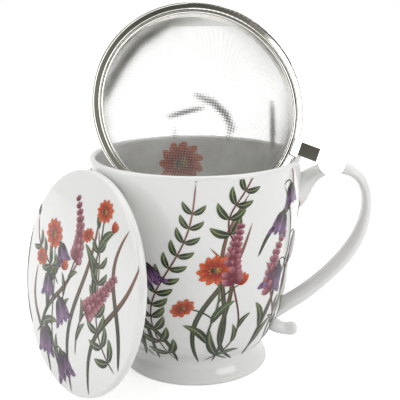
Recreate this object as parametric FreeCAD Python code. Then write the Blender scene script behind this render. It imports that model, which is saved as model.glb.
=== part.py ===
import FreeCAD, Part
import math
import os

# Lidded tea mug with infuser, in millimetres.
# The axis of the mug is +Z, the table is z = 0, the handle points to +X and
# the front of the mug is -Y. The lid leans on the front left of the mug and
# the infuser stands tilted in its mouth.

# Mug body
mug_height = 100.0
rim_radius = 48.65
wall = 3.1
waist_radius = 31.6
waist_height = 7.6
foot_radius = 34.35
foot_edge_radius = 0.9
foot_ring_width = 3.6
foot_recess = 3.0
floor_height = 9.6
floor_flat_radius = 14.0
# Tulip curve from the waist to the lip: share of the height, share of the flare
tulip_curve = [(0.085, 0.21), (0.18, 0.45), (0.31, 0.65), (0.49, 0.835), (0.71, 0.958)]

# Handle
handle_span = 33.75
handle_reach = rim_radius + handle_span
handle_top = 95.8
handle_width = 11.0
strap_top = 5.5
strap_side = 4.9
strap_low = 7.0
upper_root_drop = 12.8
upper_root_height = handle_top - upper_root_drop
upper_root_tall = 13.0
upper_root_width = 12.5
lower_root_height = 22.0
lower_root_tall = 10.5
# How deep and how low the strap's ends run into the wall before they are cut off
upper_end_depth = 6.5
upper_end_drop = 3.6
lower_end_depth = 5.5
lower_end_drop = 2.6
spur_drop = 8.4
spur_height = lower_root_height - spur_drop
spur_length = 12.8
spur_thickness = 6.0
spur_width = 9.0
spur_start_depth = 6.8
spur_start_drop = 2.2
# Steps of the quarter turn that rounds the end of the spur, in degrees
spur_dome_angles = (22.0, 43.0, 62.0, 77.0, 86.0)

# Lid
lid_overhang = 1.05
lid_radius = rim_radius + lid_overhang
lid_edge = 4.0
lid_edge_round = 1.8
lid_dome = 2.8
lid_thickness = 3.8
locating_ring_inset = 10.65
locating_ring_radius = rim_radius - locating_ring_inset
locating_ring_height = 3.0
locating_ring_wall = 3.2
hollow_step = 0.6
lid_azimuth = 53.3
lid_lean = 9.5
lid_sideways = 3.1
lid_gap = 0.35

# Infuser
flange_inset = 0.55
flange_radius = rim_radius - flange_inset
flange_width = 5.0
flange_drop = 0.2
flange_bend = 0.5
skirt_lift = 2.4
sheet = 0.5
curl_radius = 0.6
hoop_inner_radius = flange_radius - flange_width
hoop_fold = 0.45
hoop_setback = 0.9
hoop_depth = 5.6
mesh_thickness = 0.6
mesh_grip = 3.0
mesh_fit = 0.02
basket_depth = 48.0
basket_taper = 22.1
basket_floor_radius = hoop_inner_radius - basket_taper
basket_floor_round = 7.0
infuser_azimuth = 14.0
infuser_lean = 22.2
lip_gap = 0.35
chord_distance = 21.0
seat_depth = 0.5

# Finger tab of the infuser, placed along the rim from where the rim meets the lip
tab_from_lip = 5.436
tab_disc_radius = 6.7
tab_reach = 15.8
tab_disc_centre = flange_radius + tab_reach
tab_root_width = 8.4
tab_neck_width = 6.3
tab_sheet = 0.8
tab_root_inside = 2.4
tab_rise = 1.6
weld_spot_radius = 0.8
weld_spot_height = 0.15
weld_spot_spacing = 4.0

V = FreeCAD.Vector
Z_AXIS = V(0, 0, 1)
ORIGIN = V(0, 0, 0)


def save(shape, node):
    """Write one piece to its own STEP file."""
    shape.exportStep("parts/" + node + ".step")


def line(a, b):
    """Straight edge between two points."""
    return Part.LineSegment(a, b).toShape()


def arc(a, middle, b):
    """Round edge through three points."""
    return Part.Arc(a, middle, b).toShape()


def spline(points, start=None, end=None):
    """Smooth curve through points, with end directions where they are given."""
    curve = Part.BSplineCurve()
    if start is None:
        curve.interpolate(points)
    else:
        curve.interpolate(Points=points, InitialTangent=start, FinalTangent=end)
    return curve


def revolve(edges):
    """Solid of revolution of a closed profile in the XZ plane about +Z."""
    face = Part.Face(Part.Wire(Part.__sortEdges__(edges)))
    return Part.makeSolid(face.revolve(ORIGIN, Z_AXIS, 360))


# Tulip curve of the body, shared by the wall, the handle and the lid's seat

lip_radius = wall / 2.0
lip_height = mug_height - lip_radius


def tulip_points():
    """Points of the outer wall from the waist to the bottom of the round lip."""
    points = [V(waist_radius, 0, waist_height)]
    for height_share, flare_share in tulip_curve:
        points.append(V(
            waist_radius + flare_share * (rim_radius - waist_radius), 0,
            waist_height + height_share * (lip_height - waist_height)))
    points.append(V(rim_radius, 0, lip_height))
    return points


rise = lip_height - waist_height
outer_curve = spline(tulip_points(), V(0, 0, rise), V(0, 0, rise))
outer_samples = outer_curve.discretize(400)


def body_radius(height):
    """Outer radius of the mug at a height, by linear steps along its curve."""
    if height <= outer_samples[0].z:
        return foot_radius
    for low, high in zip(outer_samples, outer_samples[1:]):
        if low.z <= height <= high.z:
            share = (height - low.z) / (high.z - low.z)
            return low.x + share * (high.x - low.x)
    return rim_radius


def foot_edges():
    """Outside of the pedestal, from the table to the waist."""
    ring_inside = foot_radius - foot_edge_radius - foot_ring_width
    edge = V(foot_radius - foot_edge_radius, 0, 0)
    side = V(foot_radius, 0, foot_edge_radius)
    turn = foot_edge_radius * (1 - math.sqrt(0.5))
    waist = V(waist_radius, 0, waist_height)
    flare = spline([side, V(waist_radius + 0.35 * (foot_radius - waist_radius), 0,
                            0.72 * waist_height), waist],
                   V(-0.1 * waist_height, 0, waist_height), V(0, 0, waist_height))
    return [
        line(V(ring_inside, 0, 0), edge),
        arc(edge, V(foot_radius - turn, 0, turn), side),
        flare.toShape(),
    ]


def inner_wall_curve():
    """Inside of the cup: the tulip curve set in by the wall, run into the floor."""
    first, last = outer_curve.FirstParameter, outer_curve.LastParameter
    points = [V(rim_radius - wall, 0, lip_height)]
    for share in (0.86, 0.72, 0.58, 0.45, 0.33, 0.24):
        value = first + share * (last - first)
        at = outer_curve.value(value)
        along = outer_curve.tangent(value)[0]
        inward = V(-along.z, 0, along.x)
        points.append(at + inward * wall)
    points.append(V(floor_flat_radius, 0, floor_height))
    return spline(points, V(0, 0, -rise), V(-rise / 3.0, 0, 0))


def mug_outside(top):
    """Solid of the mug's outer form up to a height, used to cut the handle."""
    edges = foot_edges()
    start = edges[0].valueAt(edges[0].FirstParameter)
    rim = V(rim_radius, 0, lip_height)
    edges += [
        outer_curve.toShape(),
        line(rim, V(rim_radius, 0, top)),
        line(V(rim_radius, 0, top), V(0, 0, top)),
        line(V(0, 0, top), ORIGIN),
        line(ORIGIN, start),
    ]
    return revolve(edges)


def make_mug_body():
    """Cup and pedestal foot in one piece, with a round lip and a recessed foot."""
    edges = foot_edges()
    start = edges[0].valueAt(edges[0].FirstParameter)
    rim = V(rim_radius, 0, lip_height)
    mouth = V(rim_radius - wall, 0, lip_height)
    floor = V(floor_flat_radius, 0, floor_height)
    recess_side = V(start.x - foot_recess * 0.6, 0, foot_recess)
    edges += [
        outer_curve.toShape(),
        arc(rim, V(rim_radius - lip_radius, 0, mug_height), mouth),
        inner_wall_curve().toShape(),
        line(floor, V(0, 0, floor_height)),
        line(V(0, 0, floor_height), V(0, 0, foot_recess)),
        line(V(0, 0, foot_recess), recess_side),
        line(recess_side, start),
    ]
    return revolve(edges)


# Handle


def oval(centre, along, thickness, width):
    """Closed oval wire square to a direction in the XZ plane, width along Y."""
    up = V(-along.z, 0, along.x)
    steps = 12
    points = []
    for step in range(steps):
        angle = 2 * math.pi * step / steps
        points.append(centre + up * (0.5 * thickness * math.cos(angle))
                      + V(0, 0.5 * width * math.sin(angle), 0))
    curve = Part.BSplineCurve()
    curve.interpolate(Points=points, PeriodicFlag=True)
    return Part.Wire([curve.toShape()])


def strap_stations():
    """Centre, thickness and width of the handle from its upper to its lower root."""
    top = handle_top - strap_top / 2.0
    side = handle_reach - strap_side / 2.0
    root = body_radius(upper_root_height)
    end = body_radius(lower_root_height)
    span = side - root
    drop = top - lower_root_height
    low = handle_width * 1.04
    return [
        (V(root - upper_end_depth, 0, upper_root_height - upper_end_drop),
         upper_root_tall * 1.15, upper_root_width),
        (V(root + 0.006 * span, 0, upper_root_height + 0.013 * drop),
         upper_root_tall * 0.93, upper_root_width),
        (V(root + 0.17 * span, 0, top - 0.052 * drop), upper_root_tall * 0.6, handle_width * 1.03),
        (V(root + 0.36 * span, 0, top - 0.006 * drop), strap_top * 1.1, handle_width),
        (V(root + 0.62 * span, 0, top), strap_top, handle_width),
        (V(root + 0.85 * span, 0, top - 0.05 * drop), strap_side * 1.03, handle_width),
        (V(root + 0.975 * span, 0, top - 0.15 * drop), strap_side, handle_width),
        (V(side, 0, top - 0.245 * drop), strap_side * 1.02, handle_width),
        (V(root + 0.945 * span, 0, top - 0.40 * drop), 0.5 * (strap_side + strap_low), handle_width),
        (V(root + 0.73 * span, 0, top - 0.585 * drop), strap_low, low),
        (V(end + 0.498 * (side - end), 0, top - 0.77 * drop), strap_low, low),
        (V(end + 0.148 * (side - end), 0, top - 0.925 * drop), strap_low * 1.05, low),
        (V(end - lower_end_depth, 0, lower_root_height - lower_end_drop), lower_root_tall, low),
    ]


def make_strap():
    """Strap swept through its stations, each section square to the centre line."""
    stations = strap_stations()
    centre_line = spline([station[0] for station in stations])
    wires = []
    for centre, thickness, width in stations:
        along = centre_line.tangent(centre_line.parameter(centre))[0]
        wires.append(oval(centre, along, thickness, width))
    return Part.makeLoft(wires, True, False, False, 5)


def make_spur():
    """Rounded spur under the lower root, a short bar with a domed end."""
    root = body_radius(spur_height)
    tip = V(root + spur_length, 0, spur_height)
    path = [
        V(body_radius(lower_root_height) - spur_start_depth, 0,
          lower_root_height - spur_start_drop),
        V(root + 0.22 * spur_length, 0, spur_height + 0.31 * spur_drop),
        V(root + 0.58 * spur_length, 0, spur_height + 0.06 * spur_drop),
        tip,
    ]
    centre_line = spline(path)
    wires = []
    for centre in path:
        along = centre_line.tangent(centre_line.parameter(centre))[0]
        wires.append(oval(centre, along, spur_thickness, spur_width))
    for angle in spur_dome_angles:
        turn = math.radians(angle)
        centre = tip + along * (0.5 * spur_thickness * math.sin(turn))
        shrink = math.cos(turn)
        wires.append(oval(centre, along, spur_thickness * shrink, spur_width * shrink))
    return Part.makeLoft(wires, True, False, False, 5)


def make_handle():
    """Strap and spur as one casting, cut to seat on the outside of the cup."""
    casting = make_strap().fuse(make_spur())
    return casting.cut(mug_outside(mug_height + wall)).removeSplitter()


# Lid


def make_lid_flat():
    """Lid about +Z, with the middle of its edge at z = 0 and the dome upwards."""
    half = lid_edge / 2.0
    tube = lid_edge_round
    flat = half - tube
    edge_centre = lid_radius - tube
    top_edge = V(edge_centre, 0, half)
    crown = V(0, 0, half + lid_dome)
    under_crown = crown.z - lid_thickness
    ring_in = locating_ring_radius - locating_ring_wall
    low = -half - locating_ring_height
    bend = tube * math.sqrt(0.5)
    tip = locating_ring_wall / 2.0
    inside_top = -half + hollow_step
    dome = Part.BezierCurve()
    dome.setPoles([top_edge, V(0.72 * edge_centre, 0, half + 0.62 * lid_dome),
                   V(0.3 * edge_centre, 0, crown.z), crown])
    under = Part.BezierCurve()
    under.setPoles([V(0, 0, under_crown), V(0.35 * ring_in, 0, under_crown),
                    V(0.7 * ring_in, 0, inside_top + 0.5 * (under_crown - inside_top)),
                    V(ring_in, 0, inside_top)])
    edges = [
        dome.toShape(),
        line(crown, V(0, 0, under_crown)),
        under.toShape(),
        line(V(ring_in, 0, inside_top), V(ring_in, 0, low + tip)),
        arc(V(ring_in, 0, low + tip), V(ring_in + tip, 0, low),
            V(locating_ring_radius, 0, low + tip)),
        line(V(locating_ring_radius, 0, low + tip), V(locating_ring_radius, 0, -half)),
        line(V(locating_ring_radius, 0, -half), V(edge_centre, 0, -half)),
        arc(V(edge_centre, 0, -half), V(edge_centre + bend, 0, -flat - bend),
            V(lid_radius, 0, -flat)),
        line(V(lid_radius, 0, -flat), V(lid_radius, 0, flat)),
        arc(V(lid_radius, 0, flat), V(edge_centre + bend, 0, flat + bend), top_edge),
    ]
    return revolve(edges)


def lid_frame():
    """Directions of the leaning lid: its face, its sideways and its upward line."""
    turn = math.radians(lid_azimuth)
    lean = math.radians(lid_lean)
    away = V(-math.sin(turn), -math.cos(turn), 0)
    face = away * math.cos(lean) + Z_AXIS * math.sin(lean)
    side = V(math.cos(turn), -math.sin(turn), 0)
    up = face.cross(side)
    return away, face, side, up


def lid_centre():
    """Centre that sets the lid on the table and its ring lid_gap from the mug."""
    away, face, side, up = lid_frame()
    half = lid_edge / 2.0
    flat = half - lid_edge_round
    inset = lid_radius - lid_edge_round
    height = inset * up.z + flat * face.z + lid_edge_round
    slide = side * -lid_sideways
    rings = [(inset, -flat, lid_edge_round),
             (locating_ring_radius - locating_ring_wall / 2.0,
              -half - locating_ring_height + locating_ring_wall / 2.0,
              locating_ring_wall / 2.0)]
    reach = 0.0
    steps = 720
    for radius, depth, tube in rings:
        for step in range(steps):
            angle = 2 * math.pi * step / steps
            point = (side * (radius * math.cos(angle)) + up * (radius * math.sin(angle))
                     + face * depth + slide)
            z = point.z + height
            if z > lip_height:
                continue
            need = body_radius(z) + tube + lid_gap
            along = point.dot(away)
            across = point.dot(side)
            if abs(across) < need:
                reach = max(reach, math.sqrt(need * need - across * across) - along)
    return away * reach + slide + Z_AXIS * height


def place_lid(shape):
    """Move the flat lid to its leaning place."""
    away, face, side, up = lid_frame()
    centre = lid_centre()
    matrix = FreeCAD.Matrix(side.x, up.x, face.x, centre.x,
                            side.y, up.y, face.y, centre.y,
                            side.z, up.z, face.z, centre.z, 0, 0, 0, 1)
    moved = shape.copy()
    moved.Placement = FreeCAD.Placement(matrix)
    return moved


# Infuser, drawn about +Z with its rim at z = 0 and its bowl below

hoop_outer_radius = hoop_inner_radius + 2 * hoop_fold + mesh_thickness + 2 * mesh_fit
mesh_outer_radius = hoop_inner_radius + hoop_fold + mesh_fit + mesh_thickness
hoop_low = -hoop_setback - hoop_depth
mesh_top = hoop_low + mesh_grip


def make_flange():
    """Pressed rim: a curled edge, a flat ring and a skirt round the hoop."""
    curl_centre = flange_radius - curl_radius
    skirt_out = hoop_outer_radius + sheet
    face_top = -flange_drop
    bend = flange_bend
    skirt_low = hoop_low + skirt_lift
    edges = [
        line(V(hoop_outer_radius, 0, skirt_low), V(skirt_out, 0, skirt_low)),
        line(V(skirt_out, 0, skirt_low), V(skirt_out, 0, face_top - sheet - bend)),
        arc(V(skirt_out, 0, face_top - sheet - bend),
            V(skirt_out + bend * (1 - math.sqrt(0.5)), 0,
              face_top - sheet - bend * (1 - math.sqrt(0.5))),
            V(skirt_out + bend, 0, face_top - sheet)),
        line(V(skirt_out + bend, 0, face_top - sheet), V(curl_centre, 0, face_top - sheet)),
        line(V(curl_centre, 0, face_top - sheet), V(curl_centre, 0, face_top)),
        line(V(curl_centre, 0, face_top), V(hoop_outer_radius + bend, 0, face_top)),
        arc(V(hoop_outer_radius + bend, 0, face_top),
            V(hoop_outer_radius + bend * (1 - math.sqrt(0.5)), 0,
              face_top - bend * (1 - math.sqrt(0.5))),
            V(hoop_outer_radius, 0, face_top - bend)),
        line(V(hoop_outer_radius, 0, face_top - bend), V(hoop_outer_radius, 0, skirt_low)),
    ]
    curl = Part.makeTorus(curl_centre, curl_radius, V(0, 0, -curl_radius))
    return revolve(edges).fuse(curl).removeSplitter().Solids[0]


def make_hoop():
    """Folded hoop: a round bead in front and two leaves that grip the mesh."""
    middle = (hoop_inner_radius + hoop_outer_radius) / 2.0
    bead = (hoop_outer_radius - hoop_inner_radius) / 2.0
    crest = -hoop_setback
    shoulder = crest - bead
    groove_in = hoop_inner_radius + hoop_fold
    groove_out = groove_in + mesh_thickness + 2 * mesh_fit
    groove_top = mesh_top + mesh_fit
    edges = [
        line(V(hoop_inner_radius, 0, hoop_low), V(hoop_inner_radius, 0, shoulder)),
        arc(V(hoop_inner_radius, 0, shoulder), V(middle, 0, crest),
            V(hoop_outer_radius, 0, shoulder)),
        line(V(hoop_outer_radius, 0, shoulder), V(hoop_outer_radius, 0, hoop_low)),
        line(V(hoop_outer_radius, 0, hoop_low), V(groove_out, 0, hoop_low)),
        line(V(groove_out, 0, hoop_low), V(groove_out, 0, groove_top)),
        line(V(groove_out, 0, groove_top), V(groove_in, 0, groove_top)),
        line(V(groove_in, 0, groove_top), V(groove_in, 0, hoop_low)),
        line(V(groove_in, 0, hoop_low), V(hoop_inner_radius, 0, hoop_low)),
    ]
    return revolve(edges)


def bowl_edges(radius, depth, floor_radius, corner):
    """One side of the bowl, from its straight top down to the middle of its floor."""
    start = V(radius, 0, mesh_top)
    straight = V(radius, 0, hoop_low)
    turn = V(floor_radius + corner * 0.8, 0, -depth + corner * 0.42)
    flat = V(floor_radius, 0, -depth)
    wall_curve = Part.BezierCurve()
    wall_curve.setPoles([straight, V(radius, 0, -0.42 * depth),
                         V(radius * 0.9, 0, -0.74 * depth), turn])
    corner_curve = Part.BezierCurve()
    lead = wall_curve.tangent(1.0)[0]
    reach = (turn.z + depth) / -lead.z
    corner_curve.setPoles([turn, turn + lead * reach, flat])
    return [line(start, straight), wall_curve.toShape(), corner_curve.toShape(),
            line(flat, V(0, 0, -depth))]


def make_mesh_bowl():
    """Drawn wire bowl as a thin shell, with the edge that goes into the hoop."""
    outside = bowl_edges(mesh_outer_radius, basket_depth, basket_floor_radius,
                         basket_floor_round)
    inside = bowl_edges(mesh_outer_radius - mesh_thickness, basket_depth - mesh_thickness,
                        basket_floor_radius - 0.15 * mesh_thickness,
                        basket_floor_round - 0.35 * mesh_thickness)
    top = line(V(mesh_outer_radius - mesh_thickness, 0, mesh_top),
               V(mesh_outer_radius, 0, mesh_top))
    middle = line(V(0, 0, -basket_depth), V(0, 0, -basket_depth + mesh_thickness))
    return revolve(outside + [middle] + inside + [top])


def make_tab():
    """Finger tab along +X: a root on the flange, a rising neck and a round end."""
    root_in = flange_radius - curl_radius - tab_root_inside
    root_out = flange_radius + 0.5 * curl_radius
    disc_start = tab_disc_centre - tab_disc_radius
    end = tab_disc_centre + tab_disc_radius
    section = [
        (root_in, 0.0), (root_out, 0.0), (disc_start, tab_rise), (end, tab_rise),
        (end, tab_rise + tab_sheet), (disc_start, tab_rise + tab_sheet),
        (root_out, tab_sheet), (root_in, tab_sheet),
    ]
    points = [V(x, -tab_root_width, z) for x, z in section]
    strip = Part.Face(Part.makePolygon(points + [points[0]])).extrude(V(0, 2 * tab_root_width, 0))
    tall = tab_rise + tab_sheet
    root = Part.makeBox(root_out - root_in, tab_root_width, tall,
                        V(root_in, -0.5 * tab_root_width, 0))
    neck = Part.makeBox(tab_disc_centre - root_in, tab_neck_width, tall,
                        V(root_in, -0.5 * tab_neck_width, 0))
    disc = Part.makeCylinder(tab_disc_radius, tall, V(tab_disc_centre, 0, 0))
    outline = root.fuse(neck).fuse(disc).removeSplitter()
    return strip.common(outline)


def make_weld_spots():
    """Two shallow spot welds on the root of the tab."""
    middle = flange_radius - curl_radius - tab_root_inside / 2.0
    spots = []
    for side in (-0.5, 0.5):
        spots.append(Part.makeCylinder(weld_spot_radius, weld_spot_height,
                                       V(middle, side * weld_spot_spacing, tab_sheet)))
    return Part.makeCompound(spots)


def lip_chord():
    """Half the chord on which the rim rests, and its distance below the rim's centre.

    The rim is wedged across the mouth: the chord of its circle at the lip's
    height is as long as the chord of the mouth, less lip_gap at each end.
    """
    lip_drop = lip_radius - seat_depth
    mouth = rim_radius - lip_radius - math.sqrt(lip_radius ** 2 - lip_drop ** 2) - lip_gap
    half_chord = math.sqrt(mouth * mouth - chord_distance * chord_distance)
    return half_chord, math.sqrt(flange_radius * flange_radius - half_chord * half_chord)


def infuser_frame():
    """Directions of the tilted infuser and the centre of its rim."""
    turn = math.radians(infuser_azimuth)
    lean = math.radians(infuser_lean)
    forward = V(math.sin(turn), -math.cos(turn), 0)
    axis = forward * math.cos(lean) + Z_AXIS * math.sin(lean)
    side = V(math.cos(turn), math.sin(turn), 0)
    up = axis.cross(side)
    half_chord, below = lip_chord()
    chord_middle = forward * chord_distance + Z_AXIS * (mug_height - seat_depth)
    return axis, side, up, chord_middle + up * below


def place_infuser(shape):
    """Move a piece of the level infuser to its tilted place."""
    axis, side, up, centre = infuser_frame()
    matrix = FreeCAD.Matrix(side.x, up.x, axis.x, centre.x,
                            side.y, up.y, axis.y, centre.y,
                            side.z, up.z, axis.z, centre.z, 0, 0, 0, 1)
    moved = shape.copy()
    moved.Placement = FreeCAD.Placement(matrix).multiply(shape.Placement)
    return moved


def place_tab(shape):
    """Turn a piece of the tab to its place round the rim, then tilt it."""
    half_chord, below = lip_chord()
    angle = tab_from_lip / flange_radius - math.atan2(below, half_chord)
    turned = shape.copy()
    turned.rotate(ORIGIN, Z_AXIS, math.degrees(angle))
    return place_infuser(turned)


os.makedirs("parts", exist_ok=True)
save(make_mug_body(), "mug_body")
save(make_handle(), "mug_handle")
save(place_lid(make_lid_flat()), "lid")
save(place_infuser(make_flange()), "infuser_flange")
save(place_infuser(make_hoop()), "infuser_hoop")
save(place_infuser(make_mesh_bowl()), "infuser_mesh")
save(place_tab(make_tab()), "infuser_tab")
save(place_tab(make_weld_spots()), "infuser_weld_spots")
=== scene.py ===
import math

import bpy
import numpy as np
from mathutils import Matrix, Vector


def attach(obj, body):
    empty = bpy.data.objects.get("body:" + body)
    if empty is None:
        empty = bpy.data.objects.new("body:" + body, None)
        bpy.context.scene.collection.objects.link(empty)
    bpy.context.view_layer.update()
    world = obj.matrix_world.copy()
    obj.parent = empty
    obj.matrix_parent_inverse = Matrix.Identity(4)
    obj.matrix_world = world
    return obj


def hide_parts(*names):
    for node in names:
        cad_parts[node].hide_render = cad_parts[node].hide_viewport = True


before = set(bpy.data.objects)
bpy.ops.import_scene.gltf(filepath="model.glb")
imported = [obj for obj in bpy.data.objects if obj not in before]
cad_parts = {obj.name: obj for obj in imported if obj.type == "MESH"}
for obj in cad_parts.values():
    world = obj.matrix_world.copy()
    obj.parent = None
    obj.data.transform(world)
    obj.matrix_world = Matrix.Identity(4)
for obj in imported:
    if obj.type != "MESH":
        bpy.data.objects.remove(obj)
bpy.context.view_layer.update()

MM = 0.001

# Camera of the photograph
camera_place = (0.00222, -0.3841, 0.1775)
camera_pitch = 14.552
camera_lens = 76.47

# Lean of the lid and of the infuser, as in the built part
lid_azimuth = 53.3
lid_lean = 9.5
infuser_azimuth = 14.0
infuser_lean = 22.2

# Printed decor in millimetres: height of its lowest layer over the glaze, the step
# between layers, and the fields that it may cover
print_lift = 0.08
print_step = 0.012
layers_per_rank = 5
print_low = 9.5
print_high = 98.2
inner_print_low = 75.0
inner_print_high = 97.0
lid_print_radius = 48.9

# Daisy inside the mug: angle in degrees, tilt and length up from the inner field's edge
inner_daisy_place = (-9.6, 12, 11.0)

# Wall thickness of the turned pieces in millimetres
mug_wall = 3.1
lid_wall = 3.8
mesh_wall = 0.6

# Wire cloth of the infuser's bowl in millimetres, and how far below its rim the point
# lies from which its wall is read
wire_pitch = 0.8
wire_radius = 0.1
wire_sides = 3
bowl_read_depth = 8.0

# Where shade and reflection are painted on the cloth its wires are drawn thicker by this share, and
# the painted shade's limit
painted_shade_thickening = 2.8
painted_shade_limit = 0.9

# Linear colours and indices of the materials
porcelain_colour = (0.80, 0.80, 0.785, 1)
steel_colour = (0.74, 0.73, 0.70, 1)
# painted shade and reflection: dark colour of the bands on the wire cloth
painted_shade_colour = (0.10, 0.095, 0.07, 1)
room_colour = (1.0, 0.98, 0.84, 1)
floor_colour = (0.82, 0.82, 0.82, 1)
white = (1, 1, 1, 1)
glaze_index = 1.52
ring_fineness = 6000.0

# Floor: half its width, and its glow to the camera near and away from the object
floor_half = 3.0
glow_near, glow_far = 0.05, 0.17
glow_low, glow_full = 0.55, 1.0

# Studio: strength as soft light, and what metal sees of the room and of the ceiling
fill_strength = 0.6
room_strength, ceiling_strength = 0.26, 0.01
room_edge, ceiling_edge = 0.60, 0.70
light_target = (0.0, -0.01, 0.08)

# Painted shade and reflection: soft dark bands on the drawn cloth, in millimetres of the flat
# cloth from the bowl's middle: corners of the band, half width, strength
painted_shade_bands = (
    (((8.5, 18.2), (18.6, 13.0), (24.4, 6.5), (28.0, -4.0)), 2.0, 0.8),
    (((-6.3, 6.3), (3.2, 8.7), (14.5, 10.9)), 1.4, 0.8),
    (((-1.9, 2.3), (-3.0, -5.2)), 1.6, 0.3),
    (((25.3, 0.0), (24.5, -8.9)), 1.6, 0.3),
    (((53.5, 9.4), (50.6, -23.6)), 2.2, 0.5),
    (((-63.0, 11.0), (-45.0, 21.0), (-28.0, 48.6), (-11.0, 63.0), (12.0, 69.0)), 6.0, 0.5),
)


def srgb(red, green, blue):
    """Linear colour of a paint named by its screen values from 0 to 255."""
    screen = np.array((red, green, blue)) / 255.0
    linear = np.where(screen <= 0.04045, screen / 12.92, ((screen + 0.055) / 1.055) ** 2.4)
    return (*linear.tolist(), 1.0)


# Inks of the decor
orange_deep = srgb(150, 38, 14)
orange_light = srgb(232, 110, 48)
plum_deep = srgb(48, 26, 52)
plum_light = srgb(150, 110, 160)
rose_deep = srgb(110, 36, 52)
rose_light = srgb(206, 140, 150)
olive_deep = srgb(38, 52, 26)
olive_light = srgb(104, 120, 66)
russet_deep = srgb(84, 40, 34)
russet_light = srgb(150, 92, 74)
ochre = srgb(206, 158, 62)
soot = srgb(48, 34, 30)


# Shader nodes


class Net:
    """Adds nodes to one shader tree and links them."""

    def __init__(self, tree):
        self.tree = tree

    def node(self, kind, inputs=None, **settings):
        """One node, with its settings, and inputs that are values or sockets."""
        made = self.tree.nodes.new(kind)
        for key, value in settings.items():
            setattr(made, key, value)
        for key, value in (inputs or {}).items():
            if isinstance(value, bpy.types.NodeSocket):
                self.tree.links.new(value, made.inputs[key])
            else:
                made.inputs[key].default_value = value
        return made

    def math(self, operation, first, second=0.0):
        """Result of one arithmetic step."""
        return self.node("ShaderNodeMath", {0: first, 1: second}, operation=operation).outputs[0]

    def length(self, vector):
        """Length of a vector."""
        return self.node("ShaderNodeVectorMath", {0: vector}, operation="LENGTH").outputs["Value"]

    def mix(self, factor, first, second, blend="MIX"):
        """Colour between two colours."""
        made = self.node("ShaderNodeMix", {0: factor, 6: first, 7: second},
                         data_type="RGBA", blend_type=blend)
        return made.outputs[2]

    def band(self, value, low, high, start=0.0, end=1.0):
        """Value carried smoothly from low..high to start..end and held outside."""
        return self.node("ShaderNodeMapRange", {0: value, 1: low, 2: high, 3: start, 4: end},
                         interpolation_type="SMOOTHSTEP").outputs[0]

    def noise(self, vector, scale, detail=3.0, roughness=0.5):
        """Soft noise from 0 to 1."""
        return self.node("ShaderNodeTexNoise", {"Vector": vector, "Scale": scale,
                                                "Detail": detail, "Roughness": roughness}
                         ).outputs["Fac"]

    def group(self, tree, **inputs):
        """A shared effect, with its inputs by name (underscores stand for spaces)."""
        made = self.node("ShaderNodeGroup", node_tree=tree)
        for key, value in inputs.items():
            socket = made.inputs[key.replace("_", " ")]
            if isinstance(value, bpy.types.NodeSocket):
                self.tree.links.new(value, socket)
            else:
                socket.default_value = value
        return made.outputs


def new_group(name, inputs, outputs):
    """Empty node group with named sockets, as (tree, net, input sockets, output node)."""
    tree = bpy.data.node_groups.new(name, "ShaderNodeTree")
    kinds = {"float": "NodeSocketFloat", "colour": "NodeSocketColor", "vector": "NodeSocketVector"}
    for label, kind in inputs.items():
        tree.interface.new_socket(name=label, in_out="INPUT", socket_type=kinds[kind])
    for label, kind in outputs.items():
        tree.interface.new_socket(name=label, in_out="OUTPUT", socket_type=kinds[kind])
    net = Net(tree)
    return tree, net, net.node("NodeGroupInput").outputs, net.node("NodeGroupOutput")


def glaze_group():
    """Fired glaze: faint waviness, a cloudy tint and bare clay under the foot."""
    tree, net, given, result = new_group(
        "fired_glaze", {"Position": "vector", "Colour": "colour"},
        {"Colour": "colour", "Roughness": "float", "Height": "float"})
    cloud = net.noise(given["Position"], 38.0, 2.0)
    tinted = net.mix(net.band(cloud, 0.35, 0.7, 0.0, 0.05), given["Colour"], (0.70, 0.72, 0.70, 1))
    place = net.node("ShaderNodeSeparateXYZ", {0: given["Position"]})
    bare = net.band(place.outputs["Z"], 0.0002, 0.0006, 1.0, 0.0)
    clay = net.mix(bare, tinted, (0.62, 0.58, 0.52, 1))
    grain = net.noise(given["Position"], 2600.0, 1.0)
    wave = net.noise(given["Position"], 120.0, 1.0)
    height = net.math("ADD", net.math("MULTIPLY", wave, 0.8),
                      net.math("MULTIPLY", net.math("MULTIPLY", grain, bare), 0.6))
    rough = net.math("ADD", net.band(cloud, 0.3, 0.8, 0.07, 0.11),
                     net.math("MULTIPLY", bare, 0.6))
    net.tree.links.new(clay, result.inputs["Colour"])
    net.tree.links.new(rough, result.inputs["Roughness"])
    net.tree.links.new(height, result.inputs["Height"])
    return tree


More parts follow.
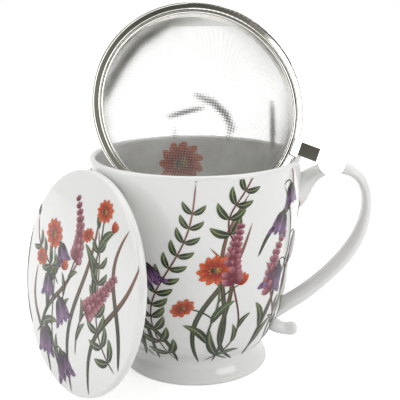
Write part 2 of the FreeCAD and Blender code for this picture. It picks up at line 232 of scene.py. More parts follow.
def brush_group():
    """Hand painted ink: it runs from root to tip in streaks, pale or dark along a rib."""
    tree, net, given, result = new_group(
        "brush_stroke",
        {"Root": "colour", "Tip": "colour", "Along": "float", "Across": "float",
         "Seed": "float", "Rib": "float"},
        {"Colour": "colour"})
    streak_place = net.node("ShaderNodeCombineXYZ", {
        0: net.math("MULTIPLY", given["Along"], 1.6),
        1: net.math("MULTIPLY", given["Across"], 7.0),
        2: net.math("MULTIPLY", given["Seed"], 31.0)}).outputs[0]
    streak = net.noise(streak_place, 1.0, 3.0, 0.6)
    blot_place = net.node("ShaderNodeCombineXYZ", {
        0: net.math("MULTIPLY", given["Along"], 2.2),
        1: net.math("MULTIPLY", given["Across"], 1.4),
        2: net.math("MULTIPLY", given["Seed"], 17.0)}).outputs[0]
    blot = net.noise(blot_place, 1.3, 2.0)
    drift = net.math("MULTIPLY", net.math("SUBTRACT", streak, 0.5), 1.1)
    run = net.math("ADD", given["Along"], drift)
    body = net.mix(net.band(run, 0.25, 1.15), given["Root"], given["Tip"])
    shade = net.mix(net.band(blot, 0.42, 0.75, 0.0, 0.45), body, given["Root"])
    side = net.math("ABSOLUTE", given["Across"])
    edge = net.band(side, 0.72, 1.0, 0.0, 0.55)
    lined = net.mix(edge, shade, net.mix(1.0, given["Root"], (0.45, 0.4, 0.4, 1), "MULTIPLY"))
    rib = net.math("MULTIPLY", net.band(side, 0.02, 0.13, 1.0, 0.0), given["Rib"])
    ribbed = net.mix(rib, lined, net.mix(0.55, given["Tip"], (0.75, 0.78, 0.55, 1)))
    net.tree.links.new(ribbed, result.inputs["Colour"])
    return tree


def turned_group():
    """Turned metal: fine rings round the part's axis, with a little haze."""
    tree, net, given, result = new_group(
        "turned_metal", {"Position": "vector", "Fineness": "float"},
        {"Roughness": "float", "Height": "float", "Shade": "float"})
    place = net.node("ShaderNodeSeparateXYZ", {0: given["Position"]})
    radius = net.math("SQRT", net.math("ADD",
                                       net.math("POWER", place.outputs["X"], 2.0),
                                       net.math("POWER", place.outputs["Y"], 2.0)))
    rings = net.noise(net.node("ShaderNodeCombineXYZ", {
        0: net.math("MULTIPLY", radius, given["Fineness"]),
        1: net.math("MULTIPLY", place.outputs["Z"], given["Fineness"])}).outputs[0], 1.0, 3.0, 0.7)
    haze = net.noise(given["Position"], 60.0, 2.0)
    net.tree.links.new(net.band(haze, 0.3, 0.75, 0.04, 0.09), result.inputs["Roughness"])
    net.tree.links.new(rings, result.inputs["Height"])
    net.tree.links.new(net.band(rings, 0.3, 0.7, 0.92, 1.0), result.inputs["Shade"])
    return tree


def new_material(name):
    """Material as (material, net, Principled shader)."""
    made = bpy.data.materials.new(name)
    made.use_nodes = True
    return made, Net(made.node_tree), made.node_tree.nodes["Principled BSDF"]


def set_plain(shader, **values):
    """Plain values on the shader's own sockets (underscores stand for spaces)."""
    for key, value in values.items():
        shader.inputs[key.replace("_", " ")].default_value = value


def porcelain_material(glaze):
    """White glazed porcelain."""
    made, net, shader = new_material("white_porcelain")
    place = net.node("ShaderNodeTexCoord").outputs["Object"]
    out = net.group(glaze, Position=place, Colour=porcelain_colour)
    net.tree.links.new(out["Colour"], shader.inputs["Base Color"])
    net.tree.links.new(out["Roughness"], shader.inputs["Roughness"])
    bump = net.node("ShaderNodeBump", {"Height": out["Height"], "Strength": 0.12,
                                       "Distance": 0.0004})
    net.tree.links.new(bump.outputs[0], shader.inputs["Normal"])
    set_plain(shader, IOR=glaze_index, Subsurface_Weight=0.0)
    return made


def ink_material(glaze, brush):
    """Fired decor under the same glaze as the porcelain."""
    made, net, shader = new_material("painted_decor")
    root = net.node("ShaderNodeAttribute", attribute_name="ink_root").outputs["Color"]
    tip = net.node("ShaderNodeAttribute", attribute_name="ink_tip").outputs["Color"]
    hand = net.node("ShaderNodeAttribute", attribute_name="brush").outputs["Vector"]
    hand = net.node("ShaderNodeSeparateXYZ", {0: hand})
    paint = net.node("ShaderNodeUVMap", uv_map="stroke").outputs[0]
    paint = net.node("ShaderNodeSeparateXYZ", {0: paint})
    across = net.math("SUBTRACT", net.math("MULTIPLY", paint.outputs["Y"], 2.0), 1.0)
    ink = net.group(brush, Root=root, Tip=tip, Along=paint.outputs["X"], Across=across,
                    Seed=hand.outputs["X"], Rib=hand.outputs["Y"])["Colour"]
    place = net.node("ShaderNodeTexCoord").outputs["Object"]
    out = net.group(glaze, Position=place, Colour=ink)
    net.tree.links.new(out["Colour"], shader.inputs["Base Color"])
    net.tree.links.new(out["Roughness"], shader.inputs["Roughness"])
    set_plain(shader, IOR=glaze_index, Specular_IOR_Level=0.22)
    return made


def steel_material(turned, axes, centre):
    """Polished stainless steel, turned about the infuser's own axis."""
    made, net, shader = new_material("polished_steel")
    place = net.node("ShaderNodeTexCoord").outputs["Object"]
    local = net.node("ShaderNodeMapping", {"Vector": place, "Location": centre,
                                           "Rotation": axes}, vector_type="TEXTURE").outputs[0]
    out = net.group(turned, Position=local, Fineness=ring_fineness)
    tone = net.mix(1.0, steel_colour, out["Shade"], "MULTIPLY")
    net.tree.links.new(tone, shader.inputs["Base Color"])
    net.tree.links.new(out["Roughness"], shader.inputs["Roughness"])
    bump = net.node("ShaderNodeBump", {"Height": out["Height"], "Strength": 0.15,
                                       "Distance": 0.00005})
    net.tree.links.new(bump.outputs[0], shader.inputs["Normal"])
    set_plain(shader, Metallic=1.0)
    return made


def wire_material():
    """Fine drawn wire, dull and bright, with painted shade and reflection darkening it in bands."""
    made, net, shader = new_material("woven_wire")
    place = net.node("ShaderNodeTexCoord").outputs["Object"]
    cloud = net.noise(place, 90.0, 3.0, 0.6)
    painted_shade = net.node("ShaderNodeAttribute", attribute_name="painted_shade").outputs["Fac"]
    tone = net.mix(net.band(cloud, 0.35, 0.7), (0.72, 0.72, 0.70, 1), (0.54, 0.54, 0.51, 1))
    # painted shade and reflection darkens the wire where the bands lie
    tone = net.mix(painted_shade, tone, painted_shade_colour)
    net.tree.links.new(tone, shader.inputs["Base Color"])
    net.tree.links.new(net.band(cloud, 0.3, 0.7, 0.3, 0.42), shader.inputs["Roughness"])
    set_plain(shader, Metallic=0.85)
    return made


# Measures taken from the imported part


def node_points(name):
    """Corners of a CAD node's mesh in millimetres."""
    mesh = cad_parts[name].data
    points = np.empty(len(mesh.vertices) * 3)
    mesh.vertices.foreach_get("co", points)
    return points.reshape(-1, 3) / MM


def profile(across, height, upper, wall, bins=160):
    """One side of a turned wall as sorted (across, height) samples.

    Corners are split at the middle between the largest and the smallest value
    of their bin, which parts the outer from the inner wall. A bin that spans much
    less than the wall holds one side only, and its neighbours speak for it.
    """
    edges = np.linspace(across.min(), across.max() + 1e-6, bins)
    place = np.clip(np.digitize(across, edges), 1, bins) - 1
    high = np.full(bins, -np.inf)
    low = np.full(bins, np.inf)
    np.maximum.at(high, place, height)
    np.minimum.at(low, place, height)
    known = (high - low) > 0.6 * wall
    middle = np.interp(across, edges[known], 0.5 * (high + low)[known])
    keep = height > middle if upper else height < middle
    order = np.argsort(across[keep])
    return across[keep][order], height[keep][order]


def tilted_axes(azimuth, lean):
    """Side, up and face directions of a disc that looks to the front and up."""
    turn, tilt = math.radians(azimuth), math.radians(lean)
    away = np.array((math.sin(turn), -math.cos(turn), 0.0))
    face = away * math.cos(tilt) + np.array((0, 0, math.sin(tilt)))
    side = np.array((math.cos(turn), math.sin(turn), 0.0))
    return side, np.cross(face, side), face


lid_axes = tilted_axes(-lid_azimuth, lid_lean)
infuser_axes = tilted_axes(infuser_azimuth, infuser_lean)


def disc_centre(points, axes):
    """Middle of a round piece along its own side and up directions, face level at 0."""
    side, up, face = axes
    across, along = points @ side, points @ up
    return (side * 0.5 * (across.min() + across.max())
            + up * 0.5 * (along.min() + along.max()))


# Printed decor


def stroke(start, end, bend, width, root, tip, lean=1.0, blunt=0.5, rib=0.0, steps=(10, 4),
           sway=0.0, rank=2):
    """One brush stroke, from start to end with its middle pushed sideways by bend.

    The spine is offset by bend * 4 u (1 - u) + sway * sin(2 pi u) at the share u.
    Half the width there is width / 2 * (4 t (1 - t)) ** blunt with t = u ** lean, so
    blunt 0.5 ends round, 1 ends in a point, and lean over 1 moves the belly towards
    the end. A higher rank lies on top of a lower one.
    """
    return {"start": start, "end": end, "bend": bend, "width": width, "root": root, "tip": tip,
            "lean": lean, "blunt": blunt, "rib": rib, "steps": steps, "sway": sway, "rank": rank,
            "anchor": 0.0}


def stroke_grid(item):
    """Points (along, across, 2) of a stroke with its shares along and across."""
    along, across = item["steps"]
    u, v = np.meshgrid(np.linspace(0, 1, along + 1), np.linspace(-1, 1, across + 1), indexing="ij")
    start, end = np.array(item["start"]), np.array(item["end"])
    run = end - start
    length = np.hypot(*run)
    ahead = run / max(length, 1e-9)
    aside = np.array((-ahead[1], ahead[0]))
    offset = item["bend"] * 4 * u * (1 - u) + item["sway"] * np.sin(2 * math.pi * u)
    grade = item["bend"] * 4 * (1 - 2 * u) + item["sway"] * 2 * math.pi * np.cos(2 * math.pi * u)
    spine = start + run * u[..., None] + aside * offset[..., None]
    slope = ahead * length + aside * grade[..., None]
    slope /= np.linalg.norm(slope, axis=-1, keepdims=True)
    normal = np.stack((-slope[..., 1], slope[..., 0]), axis=-1)
    t = u ** item["lean"]
    half = 0.5 * item["width"] * np.clip(4 * t * (1 - t), 0, 1) ** item["blunt"]
    return spine + normal * (half * v)[..., None], u, v


def turned(items, angle, squash=1.0, shift=(0.0, 0.0)):
    """Strokes squashed along y, turned by an angle in degrees and shifted."""
    c, s = math.cos(math.radians(angle)), math.sin(math.radians(angle))

    def place(point):
        x, y = point[0], point[1] * squash
        return (c * x - s * y + shift[0], s * x + c * y + shift[1])

    return [dict(item, start=place(item["start"]), end=place(item["end"])) for item in items]


def planted(items, angle, tilt, level):
    """Strokes tilted and set on the wall at an angle in degrees and a length up the wall."""
    return [dict(item, anchor=math.radians(angle))
            for item in turned(items, tilt, shift=(0.0, level))]


def ring_points(count, radius, phase=0.0):
    """Points evenly round a circle, first one at the phase in degrees."""
    angles = math.radians(phase) + np.arange(count) * 2 * math.pi / count
    return [(radius * math.cos(a), radius * math.sin(a)) for a in angles]


def daisy(radius, petals, deep, light, heart):
    """Open flower with a ring of long petals behind a second ring and a dotted heart."""
    items = []
    for ring, share in ((0, 1.0), (1, 0.86)):
        phase = ring * 180.0 / petals
        for tip in ring_points(petals, radius * share, phase):
            root = (0.16 * tip[0], 0.16 * tip[1])
            items.append(stroke(root, tip, 0.05 * radius * (1 - 2 * ring),
                                1.9 * math.pi * radius * share / petals * 0.56,
                                deep, light, lean=1.55, blunt=0.5, rib=0.0, steps=(9, 4)))
    core = 0.24 * radius
    items.append(stroke((-core, 0), (core, 0), 0, 2 * core, soot, heart, steps=(6, 4)))
    for dot in ring_points(9, 0.3 * radius):
        items.append(stroke((dot[0] - 0.05 * radius, dot[1]), (dot[0] + 0.05 * radius, dot[1]), 0,
                            0.1 * radius, heart, soot, steps=(3, 2)))
    return items


def bellflower(size, deep, light):
    """Nodding bell seen from the side, with its mouth at -y and its stalk at the origin."""
    mouth = -1.0 * size
    items = []
    for side in (-1, 1):
        items.append(stroke((0.1 * side * size, -0.12 * size), (0.46 * side * size, mouth),
                            -0.1 * side * size, 0.5 * size, deep, light, lean=0.9, blunt=0.42))
    items.append(stroke((0, -0.1 * size), (0, mouth * 0.98), 0, 0.62 * size, deep, light,
                        lean=0.95, blunt=0.38, rib=0.5, steps=(10, 6)))
    for side in (-1.0, -0.35, 0.35, 1.0):
        items.append(stroke((0.36 * side * size, 0.78 * mouth), (0.66 * side * size, 1.14 * mouth),
                            -0.04 * side * size, 0.22 * size, deep, light, blunt=0.8, steps=(6, 2)))
    for side in (-1, 0, 1):
        items.append(stroke((0, 0.02 * size), (0.24 * side * size, -0.3 * size),
                            -0.05 * side * size, 0.12 * size, olive_deep, olive_light, blunt=0.8,
                            steps=(5, 2)))
    return items


def leaf(start, end, bend, width, deep=olive_deep, light=olive_light):
    """Pointed leaf with a pale midrib."""
    return stroke(start, end, bend, width, deep, light, lean=0.85, blunt=0.85, rib=0.8,
                  steps=(12, 4), rank=1)


def stem(start, end, bend, width=0.8, deep=olive_deep, light=olive_light, sway=0.0):
    """Thin stalk of even width."""
    return stroke(start, end, bend, width, deep, light, blunt=0.12, steps=(24, 2), sway=sway,
                  rank=1)


def on_curve(end, bend, sway, share):
    """Point and direction in degrees at a share of a stalk that starts at the origin."""
    run = np.array(end)
    length = np.hypot(*run)
    ahead = run / length
    aside = np.array((-ahead[1], ahead[0]))
    offset = bend * 4 * share * (1 - share) + sway * math.sin(2 * math.pi * share)
    grade = bend * 4 * (1 - 2 * share) + sway * 2 * math.pi * math.cos(2 * math.pi * share)
    point = run * share + aside * offset
    slope = ahead * length + aside * grade
    return (float(point[0]), float(point[1])), math.degrees(math.atan2(slope[1], slope[0]))


def side_leaves(height, bend, sway, places, length, width):
    """Leaves that leave a stalk in turn to its left and right."""
    items = []
    for number, level in enumerate(places):
        point, heading = on_curve((0.0, height), bend, sway, level / height)
        side = 1 if number % 2 else -1
        items += turned([leaf((0, 0), (length * (1 - 0.09 * number), 0), -0.11 * length * side,
                              width)], heading + 30 * side, shift=point)
    return items


def spray_of_bells(height, bend, sway, count, size=12.0):
    """Arching stalk with nodding bells along its upper part and leaves low down."""
    items = [stem((0.0, 0.0), (0.0, height), bend, sway=sway)]
    items += side_leaves(height, bend, sway, (6, 17), 17, 3.4)
    for number in range(count):
        level = height - 0.98 * size * number
        point, heading = on_curve((0.0, height), bend, sway, level / height)
        side = -1 if number % 2 else 1
        away = (point[0] + side * 0.46 * size, point[1] + 0.1 * size)
        items.append(stem(point, away, 0.1 * size * side, 0.6))
        items += turned(bellflower(size * (0.8 + 0.09 * min(number, 3)), plum_deep, plum_light),
                        14 * side, shift=away)
    return items


def spray_of_daisies(height, bend, sway, radius=8.2):
    """Stalk with one open daisy on top, a smaller one aside, a bud and leaves."""
    items = [stem((0.0, 0.0), (0.0, height), bend, 0.9, sway=sway)]
    items += side_leaves(height, bend, sway, (5, 15, 26), 18, 3.8)
    fork, _ = on_curve((0.0, height), bend, sway, max(0.3, 1 - 2.9 * radius / height))
    second = (fork[0] - 1.45 * radius, fork[1] + 1.1 * radius)
    items.append(stem(fork, second, -1.6, 0.7))
    items += turned(daisy(0.72 * radius, 9, orange_deep, orange_light, ochre), 20, squash=0.7,
                    shift=second)
    fork, _ = on_curve((0.0, height), bend, sway, max(0.4, 1 - 2.0 * radius / height))
    third = (fork[0] + 1.25 * radius, fork[1] + 0.7 * radius)
    items.append(stem(fork, third, 1.2, 0.7))
    for side in (-1, 0, 1):
        items += turned([stroke((0, 0), (0.8 * radius, 0), 0.07 * radius * side, 0.34 * radius,
                                orange_deep, orange_light, blunt=0.7, steps=(6, 2))],
                        50 + 16 * side, shift=third)
    items += turned(daisy(radius, 11, orange_deep, orange_light, ochre), 5, squash=0.86,
                    shift=(0.0, height))
    return items


def heather(height, bend, sway, length=25.0, width=11.0):
    """Stalk with a plump spike: rows of three buds that shrink towards its tip."""
    items = [stem((0.0, 0.0), (0.0, height), bend, 0.8, russet_deep, russet_light, sway)]
    items += side_leaves(height, bend, sway, (5, 14, 22), 12, 2.4)
    rows = int(length / 2.3)
    for row in range(rows):
        share = row / (rows - 1)
        point, heading = on_curve((0.0, height), bend, sway, 1 - (1 - share) * length / height)
        size = 0.52 * width * (1.0 - 0.55 * share)
        for side in (-1, 1, 0):
            items += turned([stroke((0, 0), (size, 0), 0.1 * size * side,
                                    0.62 * size, rose_deep, rose_light, lean=1.35, steps=(6, 4))],
                            heading + side * (58 - 22 * share), shift=point)
    return items


def leafy_twig(height, bend, sway, pitch=6.5):
    """Bending twig with pairs of small leaves and one at its tip."""
    items = [stem((0.0, 0.0), (0.0, height), bend, 0.7, russet_deep, russet_light, sway)]
    pairs = int((height - 6) / pitch)
    for number in range(pairs):
        share = (5 + pitch * number) / height
        point, heading = on_curve((0.0, height), bend, sway, share)
        reach = 9.5 * (1.1 - 0.45 * share)
        for side in (-1, 1):
            items += turned([leaf((0, 0), (reach, 0), 0.12 * reach * side, 0.36 * reach)],
                            heading + side * 46, shift=point)
    point, heading = on_curve((0.0, height), bend, sway, 1.0)
    items += turned([leaf((0, 0), (7.5, 0), 0, 2.8)], heading, shift=point)
    return items


def blade(height, bend, width, sway):
    """Long narrow grass blade that turns from olive to russet."""
    return [stroke((0, 0), (0, height), bend, width, olive_deep, russet_light, lean=0.8,
                   blunt=0.6, rib=0.3, steps=(28, 2), sway=sway, rank=0)]


def decor_mesh(name, items, place):
    """Mesh of many strokes laid on a surface.

    place carries arrays of x, y in millimetres, their layer and the stroke's anchor to
    points, and says which points fell outside the printed field and were drawn back
    onto its border. A quad whose four corners fell outside is left out. Strokes of one
    rank share its layers in turn.
    """
    points, faces, shares, roots, tips, hands = [], [], [], [], [], []
    count = 0
    for number, item in enumerate(items):
        flat, u, v = stroke_grid(item)
        layer = np.full(u.shape, float(layers_per_rank * item["rank"] + number % layers_per_rank))
        spot, outside = place(flat[..., 0], flat[..., 1], layer, item["anchor"])
        index = np.arange(u.size).reshape(u.shape) + count
        quads = np.stack((index[:-1, :-1], index[1:, :-1], index[1:, 1:], index[:-1, 1:]), axis=-1)
        gone = (outside[:-1, :-1] & outside[1:, :-1] & outside[1:, 1:] & outside[:-1, 1:])
        faces.append(quads[~gone])
        points.append(spot.reshape(-1, 3))
        shares.append(np.stack((u, 0.5 + 0.5 * v), axis=-1).reshape(-1, 2))
        roots.append(np.tile(item["root"], (u.size, 1)))
        tips.append(np.tile(item["tip"], (u.size, 1)))
        hands.append(np.tile((number * 0.37 % 1.0, item["rib"], 0.0), (u.size, 1)))
        count += u.size
    mesh = bpy.data.meshes.new(name)
    mesh.from_pydata(np.concatenate(points) * MM, [], np.concatenate(faces).tolist())
    mesh.polygons.foreach_set("use_smooth", np.ones(len(mesh.polygons), bool))
    corners = np.empty(len(mesh.loops), np.int32)
    mesh.loops.foreach_get("vertex_index", corners)
    mesh.uv_layers.new(name="stroke").data.foreach_set(
        "uv", np.concatenate(shares)[corners].ravel())
    for label, values in (("ink_root", roots), ("ink_tip", tips)):
        mesh.attributes.new(label, "FLOAT_COLOR", "POINT").data.foreach_set(
            "color", np.concatenate(values).ravel())
    mesh.attributes.new("brush", "FLOAT_VECTOR", "POINT").data.foreach_set(
        "vector", np.concatenate(hands).ravel())
    return mesh


def add_piece(name, mesh, material, body):
    """Put a finished mesh into the scene as one piece that rides on a body."""
    piece = bpy.data.objects.new(name, mesh)
    bpy.context.scene.collection.objects.link(piece)
    mesh.materials.append(material)
    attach(piece, body)
    return piece


def wall_field(heights, radii, low, high, inside=False):
    """Placing rule for the turned wall of the mug, its outer or its inner side.

    x runs round the wall from the anchor, an angle from the middle of the side that is
    seen by the camera, y is the length along the wall from the height low, and the
    normal is the profile's own.
    """
    level = np.linspace(low, high, 400)
    radius = np.interp(level, heights, radii)
    radius = np.convolve(np.pad(radius, 4, mode="edge"), np.ones(9) / 9, mode="valid")
    length = np.concatenate(((0.0,), np.cumsum(np.hypot(np.diff(level), np.diff(radius)))))
    grade = np.gradient(radius, length)
    rise = np.gradient(level, length)
    sign = -1.0 if inside else 1.0

    def place(x, y, layer, anchor):
        outside = (y > length[-1]) | (y < 0.0)
        held = np.clip(y, 0.0, length[-1])
        r = np.interp(held, length, radius)
        angle = anchor + x / r
        out = sign * (print_lift + print_step * layer)
        r = r + out * np.interp(held, length, rise)
        z = np.interp(held, length, level) - out * np.interp(held, length, grade)
        return np.stack((r * np.sin(angle), -sign * r * np.cos(angle), z), axis=-1), outside

    return place


def lid_field():
    """Placing rule for the domed face of the lid, x to its side and y up its slope.

    The lid has one field, so the anchor isn't used.
    """
    points = node_points("lid")
    side, up, face = lid_axes
    centre = disc_centre(points, lid_axes)
    rest = points - centre
    reach = np.hypot(rest @ side, rest @ up)
    radii, levels = profile(reach, rest @ face, True, lid_wall)

    def place(x, y, layer, _anchor):
        far = np.hypot(x, y)
        outside = far > lid_print_radius
        keep = np.where(outside, lid_print_radius / np.maximum(far, 1e-6), 1.0)
        x, y, far = x * keep, y * keep, far * keep
        level = np.interp(far, radii, levels) + print_lift + print_step * layer
        spot = centre + x[..., None] * side + y[..., None] * up + level[..., None] * face
        return spot, outside

    return place


# Angle in degrees, height, bend, sway, tilt and kind of each plant on the mug
mug_plants = (
    (-14, 90, 9, 6, -8, "twig"), (6, 70, -7, -5, -12, "heather"),
    (26, 52, 6, 4, 14, "daisies"), (-34, 74, -5, 5, 12, "bells"),
    (42, 84, -7, 5, -6, "bells"), (64, 62, 5, -4, 8, "heather"),
    (86, 80, 6, 5, -8, "daisies"), (106, 48, -4, 4, 12, "bells"),
    (126, 88, 8, -6, -5, "twig"), (146, 66, -6, 5, 8, "heather"),
    (168, 78, 5, 5, -10, "bells"), (190, 52, -4, -4, 8, "daisies"),
    (212, 86, 8, 5, 4, "twig"), (232, 66, -6, 4, -12, "heather"),
    (254, 80, 6, -5, 6, "daisies"), (276, 50, 5, 4, -8, "bells"),
    (300, 86, -7, 6, 6, "heather"),
)

# Root x and y, angle in degrees, height and sway of each blade on the lid
lid_blades = (
    (-36, -30, 12, 66, 3), (-14, -46, 24, 50, -3), (20, -44, -22, 72, 4),
    (40, -26, 4, 58, -3), (6, -48, -6, 84, 4), (-26, -40, -30, 60, 3),
)

# Plants under this height get a blade and a twig over them
low_plant = 56


def mug_decor():
    """Meadow round the mug that grows from its foot to its lip, tall and low in turn."""
    rng = np.random.default_rng(7)
    makers = {"bells": spray_of_bells, "daisies": spray_of_daisies, "heather": heather,
              "twig": leafy_twig}
    items = []
    for number in range(24):
        strand = blade(rng.uniform(40, 96), rng.uniform(-9, 9), rng.uniform(1.6, 2.5),
                       rng.choice((-1, 1)) * rng.uniform(3, 6))
        items += planted(strand, 15 * number + rng.uniform(-4, 4), rng.uniform(-18, 18), 1.0)
    for angle, height, bend, sway, tilt, kind in mug_plants:
        extra = (4,) if kind == "bells" else ()
        items += planted(makers[kind](height, bend, sway, *extra), angle, tilt, 2.0)
        if height < low_plant:
            items += planted(blade(44, -bend, 2.2, sway), angle + 9, -2 * tilt, 56.0)
            items += planted(leafy_twig(34, bend, 0.5 * sway), angle - 4, -tilt, 62.0)
    return items


def lid_decor():
    """Sprays that grow over the lid from its lower edge."""
    items = []
    for x, y, angle, height, sway in lid_blades:
        items += turned(blade(height, 5, 2.4, sway), angle, shift=(x, y))
    items += turned(spray_of_bells(62, 7, 3, 5), 20, shift=(2, -46))
    items += turned(spray_of_daisies(50, -5, -2), -10, shift=(-30, -32))
    items += turned(heather(46, 5, 2), -30, shift=(8, -30))
    items += turned(leafy_twig(60, 6, 3), 22, shift=(38, -28))
    items += turned(heather(58, -5, 3), -4, shift=(-8, -22))
    items += turned(leafy_twig(38, 4, -2), 48, shift=(-12, -4))
    items += turned(spray_of_daisies(44, 4, 2, 6.0), 8, shift=(24, -8))
    return items


def inner_decor():
    """One daisy on the inside of the mug's far wall, under the lip."""
    return planted(daisy(12, 11, orange_deep, orange_light, ochre), *inner_daisy_place)


# Woven bowl


def bowl_line():
    """Middle line of the bowl's wall, as lengths from its centre with radius and depth.

    The wall is read round a point inside the bowl: at each angle from the axis its
    middle lies between its inner and outer distance. The floor is flat and has no
    corners near the axis, so there the distance is floor / cos(angle).
    """
    centre = disc_centre(node_points("infuser_flange"), infuser_axes)
    side, up, face = infuser_axes
    rest = node_points("infuser_mesh") - centre
    reach = np.hypot(rest @ side, rest @ up)
    level = rest @ face
    middle = level.max() - bowl_read_depth
    angle = np.arctan2(reach, middle - level)
    far = np.hypot(reach, middle - level)
    turn = np.linspace(0.0, angle.max(), 500)
    sides = []
    for upper in (True, False):
        seen, reached = profile(angle, far, upper, mesh_wall)
        floor = reached[0] * math.cos(seen[0])
        sides.append(np.where(turn < seen[0], floor / np.cos(turn), np.interp(turn, seen, reached)))
    wall = 0.5 * (sides[0] + sides[1])
    radius, depth = wall * np.sin(turn), middle - wall * np.cos(turn)
    length = np.concatenate(((0.0,), np.cumsum(np.hypot(np.diff(radius), np.diff(depth)))))
    return centre, length, radius, depth


def painted_shade_strength(a, b):
    """Strength from 0 to 1 of the painted shade and reflection bands at places (a, b) of the flat
    cloth.

    Each band adds strength * sqrt(sin(pi s)) * exp(-(d / w) ** 2), with d the distance
    from its line and s the share along it.
    """
    total = np.zeros(a.shape)
    for corners, half_width, strength in painted_shade_bands:
        near = np.full(a.shape, np.inf)
        along = np.zeros(a.shape)
        for number, ((a0, b0), (a1, b1)) in enumerate(zip(corners[:-1], corners[1:])):
            run_a, run_b = a1 - a0, b1 - b0
            share = ((a - a0) * run_a + (b - b0) * run_b) / (run_a ** 2 + run_b ** 2)
            share = np.clip(share, 0.0, 1.0)
            far = np.hypot(a - a0 - share * run_a, b - b0 - share * run_b)
            along = np.where(far < near, (number + share) / (len(corners) - 1), along)
            near = np.minimum(near, far)
        fade = np.sqrt(np.sin(math.pi * along))
        total += strength * fade * np.exp(-(near / half_width) ** 2)
    return np.clip(total, 0.0, painted_shade_limit)


def woven_wires(name, direction):
    """One set of parallel wires of a square weave that was drawn into a bowl.

    A point (a, b) of the flat cloth keeps its direction and goes to the length
    hypot(a, b) along the bowl's wall. Wires cross every wire_pitch, and each goes over
    and under by its own radius in turn. A ring of the tube is
    centre + radius * (cos t * across + sin t * normal).
    """
    centre, length, radius, depth = bowl_line()
    side, up, face = infuser_axes
    count = int(length[-1] / wire_pitch)
    steps = (np.arange(-count, count) + 0.5) * wire_pitch
    a, b = np.meshgrid(steps, steps, indexing="ij")
    if direction:
        a, b = b, a
    far = np.hypot(a, b)
    angle = np.arctan2(b, a)
    spin = np.cos(angle)[..., None] * side + np.sin(angle)[..., None] * up
    grade = np.interp(far, length, np.gradient(radius, length))[..., None]
    rise = np.interp(far, length, np.gradient(depth, length))[..., None]
    normal = grade * face - rise * spin
    index = np.add.outer(np.arange(2 * count), np.arange(2 * count))
    over = np.where((index + direction) % 2, 1.0, -1.0)[..., None] * wire_radius
    line = (centre + np.interp(far, length, radius)[..., None] * spin
            + np.interp(far, length, depth)[..., None] * face + over * normal)
    ahead = np.gradient(line - over * normal, axis=1)
    ahead /= np.linalg.norm(ahead, axis=-1, keepdims=True)
    across = np.cross(ahead, normal)
    turn = np.arange(wire_sides) * 2 * math.pi / wire_sides
    # painted shade and reflection: the wires are darkened and drawn thicker in bands
    painted_shade = painted_shade_strength(a, b)
    thick = (wire_radius * (1.0 + painted_shade_thickening * painted_shade))[:, :, None, None]
    rings = (line[:, :, None] + thick * (np.cos(turn)[:, None] * across[:, :, None]
                                         + np.sin(turn)[:, None] * normal[:, :, None]))
    inside = far < length[-1]
    joined = inside[:, :-1] & inside[:, 1:]
    corner = np.arange(rings.size // 3).reshape(rings.shape[:3])
    after = np.roll(corner, -1, axis=2)
    quads = np.stack((corner[:, :-1], after[:, :-1], after[:, 1:], corner[:, 1:]), axis=-1)[joined]
    used, faces = np.unique(quads.reshape(-1, 4), return_inverse=True)
    mesh = bpy.data.meshes.new(name)
    mesh.from_pydata(rings.reshape(-1, 3)[used] * MM, [], faces.reshape(-1, 4).tolist())
    mesh.polygons.foreach_set("use_smooth", np.ones(len(mesh.polygons), bool))
    # painted shade and reflection, read by the wire material
    mesh.attributes.new("painted_shade", "FLOAT", "POINT").data.foreach_set(
        "value", np.repeat(painted_shade.ravel(), wire_sides)[used])
    return mesh


# Floor, light and camera


def add_floor():
    """Pale floor that reads white to the camera and keeps the object's shadow."""
    half = floor_half
    mesh = bpy.data.meshes.new("floor")
    mesh.from_pydata([(-half, -half, 0), (half, -half, 0), (half, half, 0), (-half, half, 0)], [],
                     [(0, 1, 2, 3)])
    made, net, shader = new_material("floor_white")
    set_plain(shader, Base_Color=floor_colour, Roughness=0.9, Specular_IOR_Level=0.1)
    path = net.node("ShaderNodeLightPath").outputs
    seen = net.math("MAXIMUM", path["Is Camera Ray"],
                    net.math("MAXIMUM", path["Is Glossy Ray"], path["Is Transmission Ray"]))
    shader.inputs["Emission Color"].default_value = white
    place = net.node("ShaderNodeTexCoord").outputs["Object"]
    glow = net.band(net.length(place), glow_near, glow_far, glow_low, glow_full)
    net.tree.links.new(net.math("MULTIPLY", seen, glow), shader.inputs["Emission Strength"])
    mesh.materials.append(made)
    floor = bpy.data.objects.new("floor", mesh)
    bpy.context.scene.collection.objects.link(floor)


def add_world():
    """White studio: full white to the camera, softer as light.

    Metal sees white behind the object, a dim olive room behind the camera up to about
    37 degrees, and over 44 degrees a nearly black ceiling.
    """
    world = bpy.data.worlds.new("studio")
    bpy.context.scene.world = world
    world.use_nodes = True
    net = Net(world.node_tree)
    back = world.node_tree.nodes["Background"]
    path = net.node("ShaderNodeLightPath").outputs
    shiny = path["Is Glossy Ray"]
    way = net.node("ShaderNodeSeparateXYZ",
                   {0: net.node("ShaderNodeTexCoord").outputs["Generated"]}).outputs
    behind = net.band(way["Y"], -0.45, 0.15)
    ahead = net.math("SUBTRACT", 1.0, behind)
    room = net.band(way["Z"], room_edge, ceiling_edge, room_strength, ceiling_strength)
    glossy = net.math("ADD", net.math("MULTIPLY", ahead, room), behind)
    seen = net.math("MAXIMUM", path["Is Camera Ray"], path["Is Transmission Ray"])
    fill = net.math("MULTIPLY", net.math("SUBTRACT", 1.0, shiny), fill_strength)
    other = net.math("ADD", net.math("MULTIPLY", shiny, glossy), fill)
    level = net.math("ADD", seen, net.math("MULTIPLY", net.math("SUBTRACT", 1.0, seen), other))
    tone = net.mix(net.math("MULTIPLY", shiny, ahead), white, room_colour)
    net.tree.links.new(tone, back.inputs["Color"])
    net.tree.links.new(level, back.inputs["Strength"])


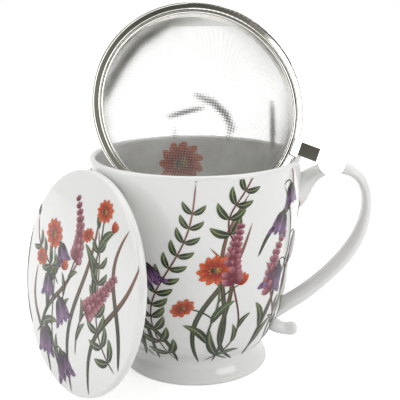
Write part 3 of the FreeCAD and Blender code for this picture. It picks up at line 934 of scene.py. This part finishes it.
def add_softbox(name, azimuth, elevation, distance, width, height, power):
    """Rectangular soft light that looks at the middle of the object.

    azimuth is measured from the front towards +X, both angles in degrees.
    """
    turn, lift = math.radians(azimuth), math.radians(elevation)
    way = Vector((math.sin(turn) * math.cos(lift), -math.cos(turn) * math.cos(lift),
                  math.sin(lift)))
    lamp = bpy.data.lights.new(name, "AREA")
    lamp.shape = "RECTANGLE"
    lamp.size = width
    lamp.size_y = height
    lamp.energy = power
    placed = bpy.data.objects.new(name, lamp)
    bpy.context.scene.collection.objects.link(placed)
    placed.location = Vector(light_target) + way * distance
    placed.rotation_euler = way.to_track_quat("Z", "Y").to_euler()


def add_camera():
    """Camera at the photograph's place, angle and lens."""
    lens = bpy.data.cameras.new("camera")
    lens.lens = camera_lens
    lens.sensor_width = 36.0
    lens.clip_start = 0.01
    placed = bpy.data.objects.new("camera", lens)
    bpy.context.scene.collection.objects.link(placed)
    placed.location = camera_place
    placed.rotation_euler = (math.radians(90.0 - camera_pitch), 0.0, 0.0)
    bpy.context.scene.camera = placed


def dress(node, material):
    """Give a CAD node its finish."""
    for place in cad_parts[node].material_slots:
        place.material = material


glaze = glaze_group()
brush = brush_group()
turned_rings = turned_group()

porcelain = porcelain_material(glaze)
ink = ink_material(glaze, brush)
infuser_turn = Matrix(infuser_axes).transposed().to_euler()
infuser_middle = disc_centre(node_points("infuser_flange"), infuser_axes) * MM
steel = steel_material(turned_rings, infuser_turn, infuser_middle)
wire = wire_material()

for node in ("mug_body", "mug_handle", "lid"):
    dress(node, porcelain)
for node in ("infuser_flange", "infuser_hoop", "infuser_tab", "infuser_weld_spots"):
    dress(node, steel)
for direction, name in enumerate(("infuser_warp", "infuser_weft")):
    piece = add_piece(name, woven_wires(name, direction), wire, "infuser")
    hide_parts("infuser_mesh")

mug_points = node_points("mug_body")
mug_reach = np.hypot(mug_points[:, 0], mug_points[:, 1])
outer_heights, outer_radii = profile(mug_points[:, 2], mug_reach, True, mug_wall)
inner_heights, inner_radii = profile(mug_points[:, 2], mug_reach, False, mug_wall)
outer_field = wall_field(outer_heights, outer_radii, print_low, print_high)
inner_field = wall_field(inner_heights, inner_radii, inner_print_low, inner_print_high, True)
for name, items, field, body in (("mug_decor", mug_decor(), outer_field, "mug"),
                                 ("inner_decor", inner_decor(), inner_field, "mug"),
                                 ("lid_decor", lid_decor(), lid_field(), "lid")):
    add_piece(name, decor_mesh(name, items, field), ink, body)

add_floor()
add_world()
add_softbox("softbox_right", 55, 29, 0.95, 0.5, 0.42, 2.3)
add_softbox("softbox_top", 180, 75, 1.0, 0.9, 0.9, 3.2)
add_softbox("softbox_left", -66, 26, 1.1, 0.7, 0.9, 3.0)
add_camera()

bpy.context.scene.view_settings.view_transform = "Standard"
